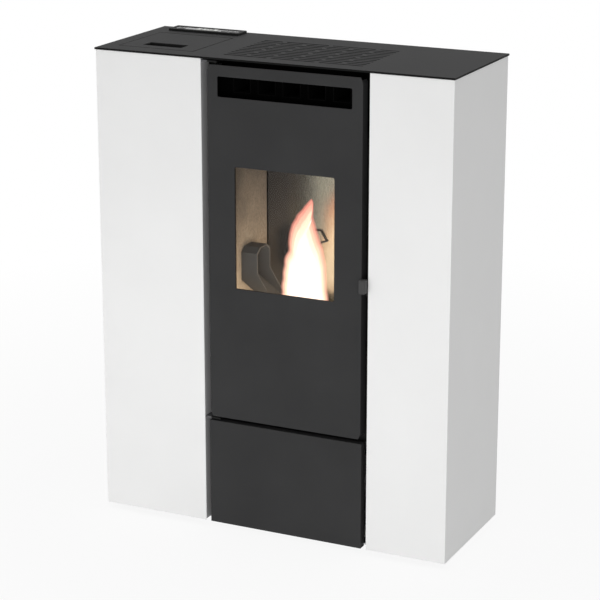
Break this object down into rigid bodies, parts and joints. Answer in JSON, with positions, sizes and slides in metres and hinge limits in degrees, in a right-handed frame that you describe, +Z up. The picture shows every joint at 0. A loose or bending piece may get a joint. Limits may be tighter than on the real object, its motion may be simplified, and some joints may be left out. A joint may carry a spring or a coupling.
{
  "type": "pellet stove",
  "caption": "Slim free-standing pellet stove: white side casings, black top with grille and hopper lid, black glazed fire door and pull-off lower cover.",
  "frame": {"origin": "floor level, at the bottom centre of the bounding box", "axes": "+X to the stove's right seen from the front, +Y to the back, +Z up; the fire door faces -Y"},
  "size_m": [0.8, 0.324, 1.025],
  "materials": {
    "white_sheet": "matt white powder coat",
    "black_sheet": "matt black powder coat",
    "grey_sheet": "grey coat",
    "zinc_sheet": "zinc-coated sheet",
    "black_steel": "heat-proof black paint",
    "cast_iron": "as cast",
    "fire_board": "pressed mineral board",
    "clear_glass": "clear ceramic glass",
    "seal_rope": "woven rope",
    "aluminium": "die cast",
    "black_plastic": "satin",
    "silver_fascia": "satin",
    "display": "gloss",
    "steel": "plain steel"
  },
  "bodies": {
    "stove": {"base_plate": "zinc_sheet", "levelling_feet": "black_plastic", "left_casing": "white_sheet", "right_casing": "white_sheet", "left_partition": "grey_sheet", "right_partition": "grey_sheet", "rear_panel": "zinc_sheet", "top_plate": "black_sheet", "hopper_collar": "zinc_sheet", "lid_seal": "seal_rope", "lid_hinge": "steel", "hopper_bin": "zinc_sheet", "hopper_funnel": "zinc_sheet", "auger_housing": "steel", "auger_gearmotor": "aluminium", "pellet_chute": "black_steel", "bulkhead": "black_steel", "heat_exchanger": "black_steel", "firebox_shell": "black_steel", "side_liners": "fire_board", "back_liner": "steel", "liner_handle": "black_steel", "burn_pot_shelf": "black_steel", "igniter": "steel", "ash_pan": "zinc_sheet", "exhaust_housing": "zinc_sheet", "exhaust_motor": "aluminium", "flue_spigot": "steel", "smoke_duct": "zinc_sheet", "air_intake": "steel", "blower_housing": "aluminium", "blower_motor": "aluminium", "power_inlet": "black_plastic", "control_box": "black_plastic", "panel_housing": "black_plastic", "panel_fascia": "silver_fascia", "panel_display": "display", "hinge_brackets": "black_steel", "cross_bars": "black_steel"},
    "fire_door": {"door_panel": "black_sheet", "door_frame": "black_steel", "door_seal": "seal_rope", "door_glass": "clear_glass", "glass_gasket": "seal_rope", "glass_clips": "black_steel", "door_shield": "zinc_sheet", "latch_housing": "black_steel"},
    "latch": {"latch_spindle": "steel", "latch_knob": "black_plastic"},
    "lid": {"hopper_lid": "black_sheet", "lid_cup": "black_plastic"},
    "cover": {"lower_panel": "black_sheet"},
    "pot": {"burn_pot": "cast_iron"},
    "auger": {"auger_screw": "steel"},
    "impeller": {"exhaust_impeller": "steel"},
    "rotor": {"blower_rotor": "aluminium"},
    "rocker": {"power_rocker": "black_plastic"},
    "key_one": {"panel_key_1": "silver_fascia"},
    "key_two": {"panel_key_2": "silver_fascia"},
    "key_three": {"panel_key_3": "silver_fascia"}
  },
  "joints": [
    {"name": "door_swing", "type": "hinge", "parent": "stove", "child": "fire_door", "pos_m": [-0.1265, -0.134, 0.6], "axis": [0, 0, -1], "range_deg": [0, 100]},
    {"name": "latch_turn", "type": "hinge", "parent": "fire_door", "child": "latch", "pos_m": [0.213, -0.14, 0.583], "axis": [0, -1, 0], "range_deg": [0, 90]},
    {"name": "lid_lift", "type": "hinge", "parent": "stove", "child": "lid", "pos_m": [-0.2795, 0.051, 1.012], "axis": [-1, 0, 0], "range_deg": [0, 80]},
    {"name": "cover_pull", "type": "slide", "parent": "stove", "child": "cover", "axis": [0, -1, 0], "range_m": [0, 0.06]},
    {"name": "pot_lift", "type": "slide", "parent": "stove", "child": "pot", "axis": [0, 0, 1], "range_m": [0, 0.06]},
    {"name": "auger_spin", "type": "hinge", "parent": "stove", "child": "auger", "pos_m": [-0.2, -0.05, 0.575], "axis": [1, 0, 0], "continuous": true},
    {"name": "exhaust_spin", "type": "hinge", "parent": "stove", "child": "impeller", "pos_m": [0.12, 0.06, 0.128], "axis": [0, 1, 0], "continuous": true},
    {"name": "blower_spin", "type": "hinge", "parent": "stove", "child": "rotor", "pos_m": [-0.07, 0.038, 0.095], "axis": [1, 0, 0], "continuous": true},
    {"name": "switch_rock", "type": "hinge", "parent": "stove", "child": "rocker", "pos_m": [-0.297, 0.1435, 0.073], "axis": [-1, 0, 0], "range_deg": [0, 16]},
    {"name": "key_one_press", "type": "slide", "parent": "stove", "child": "key_one", "axis": [0, 0, -1], "range_m": [0, 0.0008], "stiffness_N_per_m": 600},
    {"name": "key_two_press", "type": "slide", "parent": "stove", "child": "key_two", "axis": [0, 0, -1], "range_m": [0, 0.0008], "stiffness_N_per_m": 600},
    {"name": "key_three_press", "type": "slide", "parent": "stove", "child": "key_three", "axis": [0, 0, -1], "range_m": [0, 0.0008], "stiffness_N_per_m": 600}
  ]
}
